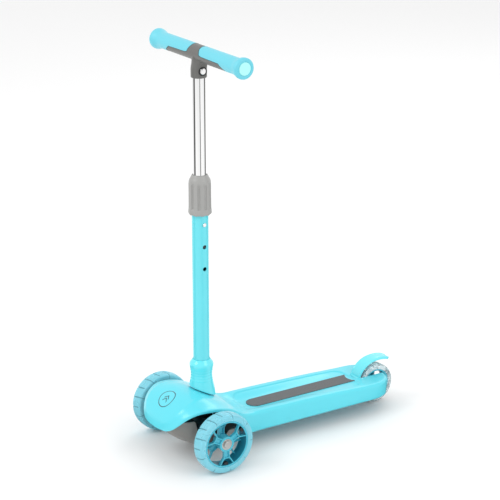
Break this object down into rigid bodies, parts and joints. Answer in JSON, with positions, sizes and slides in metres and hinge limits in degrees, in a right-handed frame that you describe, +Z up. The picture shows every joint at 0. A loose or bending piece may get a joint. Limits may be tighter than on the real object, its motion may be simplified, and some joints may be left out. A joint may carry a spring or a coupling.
{
  "type": "kick scooter",
  "caption": "Three-wheeled lean-to-steer kick scooter with telescopic handlebar, hooded deck and rear fender brake.",
  "frame": {"origin": "on the floor below the middle of the overall box", "axes": "+Z up, -Y forward (direction of travel), +X to the rider's left"},
  "size_m": [0.3112, 0.5705, 0.8134],
  "materials": {
    "badge": "gloss",
    "chrome": "polished",
    "cyan_paint": "gloss",
    "cyan_plastic": "gloss",
    "cyan_rubber": "satin",
    "dark_steel": "satin",
    "grey_plastic": "matte",
    "nylon": "matte",
    "spring_steel": "satin",
    "steel": "satin",
    "strip_grey": "matte",
    "tyre_blue": "satin",
    "tyre_clear": "gloss"
  },
  "bodies": {
    "deck": {"deck_shell": "cyan_plastic", "grip_strip": "strip_grey", "nose_badge": "badge", "front_beam": "dark_steel", "beam_screws": "steel", "steering_housing": "grey_plastic", "housing_screws": "steel", "left_kingpin": "steel", "right_kingpin": "steel", "left_lean_spring": "spring_steel", "right_lean_spring": "spring_steel", "lean_pivot_bolt": "steel", "rear_axle": "steel", "rear_axle_spacers": "nylon", "brake_pin": "steel", "brake_spring": "spring_steel"},
    "column": {"lower_tube": "cyan_paint", "stem_socket": "cyan_plastic", "lean_block": "dark_steel", "stem_bolt": "steel", "tube_bushing": "nylon"},
    "twist_collar": {"twist_collar": "grey_plastic"},
    "upper_column": {"inner_tube": "chrome", "guide_plug": "nylon", "tbar_core": "grey_plastic", "left_grip": "cyan_rubber", "right_grip": "cyan_rubber", "left_bar_cap": "cyan_rubber", "right_bar_cap": "cyan_rubber", "tbar_clip": "spring_steel", "height_clip": "spring_steel"},
    "tbar_button": {"tbar_button": "chrome"},
    "height_button": {"height_button": "chrome"},
    "left_knuckle": {"left_knuckle": "dark_steel", "left_axle_bolt": "steel", "left_axle_spacer": "steel"},
    "right_knuckle": {"right_knuckle": "dark_steel", "right_axle_bolt": "steel", "right_axle_spacer": "steel"},
    "left_wheel": {"left_tyre": "tyre_blue", "left_wheel_core": "cyan_plastic", "left_bearings": "steel", "left_bearing_spacer": "steel", "left_light_modules": "nylon"},
    "right_wheel": {"right_tyre": "tyre_blue", "right_wheel_core": "cyan_plastic", "right_bearings": "steel", "right_bearing_spacer": "steel", "right_light_modules": "nylon"},
    "rear_wheel": {"rear_tyre": "tyre_clear", "rear_wheel_core": "cyan_plastic", "rear_bearings": "steel", "rear_bearing_spacer": "steel"},
    "tie_rod": {"tie_rod": "dark_steel"},
    "brake": {"brake_fender": "cyan_plastic"}
  },
  "joints": [
    {"name": "column_lean", "type": "hinge", "parent": "deck", "child": "column", "pos_m": [0, -0.17475, 0.064], "axis": [0, 1, 0], "range_deg": [-8, 8], "stiffness_Nm_per_rad": 25, "deforming": ["left_lean_spring", "right_lean_spring"]},
    {"name": "left_steer", "type": "hinge", "parent": "deck", "child": "left_knuckle", "pos_m": [0.084, -0.19875, 0.06], "axis": [0, 0, 1], "range_deg": [-12.8, 12.8]},
    {"name": "right_steer", "type": "hinge", "parent": "deck", "child": "right_knuckle", "pos_m": [-0.084, -0.19875, 0.06], "axis": [0, 0, 1], "range_deg": [-12.8, 12.8]},
    {"name": "tie_rod_swing", "type": "hinge", "parent": "left_knuckle", "child": "tie_rod", "pos_m": [0.084, -0.18188, 0.037], "axis": [0, 0, 1], "range_deg": [-12.8, 12.8]},
    {"name": "left_wheel_spin", "type": "hinge", "parent": "left_knuckle", "child": "left_wheel", "pos_m": [0.1185, -0.19875, 0.06], "axis": [1, 0, 0], "continuous": true},
    {"name": "right_wheel_spin", "type": "hinge", "parent": "right_knuckle", "child": "right_wheel", "pos_m": [-0.1185, -0.19875, 0.06], "axis": [1, 0, 0], "continuous": true},
    {"name": "rear_wheel_spin", "type": "hinge", "parent": "deck", "child": "rear_wheel", "pos_m": [0, 0.24325, 0.042], "axis": [1, 0, 0], "continuous": true},
    {"name": "brake_press", "type": "hinge", "parent": "deck", "child": "brake", "pos_m": [0, 0.19825, 0.061], "axis": [-1, 0, 0], "range_deg": [0, 7], "stiffness_Nm_per_rad": 2, "springref_deg": -2.86, "deforming": ["brake_spring"]},
    {"name": "collar_twist", "type": "hinge", "parent": "column", "child": "twist_collar", "pos_m": [0, -0.17475, 0.52], "axis": [0, 0, 1], "range_deg": [0, 90]},
    {"name": "height_slide", "type": "slide", "parent": "column", "child": "upper_column", "axis": [0, 0, 1], "range_m": [-0.0886, 0], "deforming": ["height_button", "height_clip"]},
    {"name": "tbar_button_press", "type": "slide", "parent": "upper_column", "child": "tbar_button", "axis": [-1, 0, 0], "range_m": [0, 0.0045], "stiffness_N_per_m": 1500, "springref_m": -0.001, "deforming": ["tbar_clip"]},
    {"name": "height_button_press", "type": "slide", "parent": "upper_column", "child": "height_button", "axis": [-1, 0, 0], "range_m": [0, 0.0052], "stiffness_N_per_m": 1500, "springref_m": -0.001, "deforming": ["height_clip"]}
  ],
  "couplings": [
    {"joint": "left_steer", "follows": "column_lean", "ratio": 1.6},
    {"joint": "right_steer", "follows": "column_lean", "ratio": 1.6},
    {"joint": "tie_rod_swing", "follows": "column_lean", "ratio": -1.6}
  ]
}
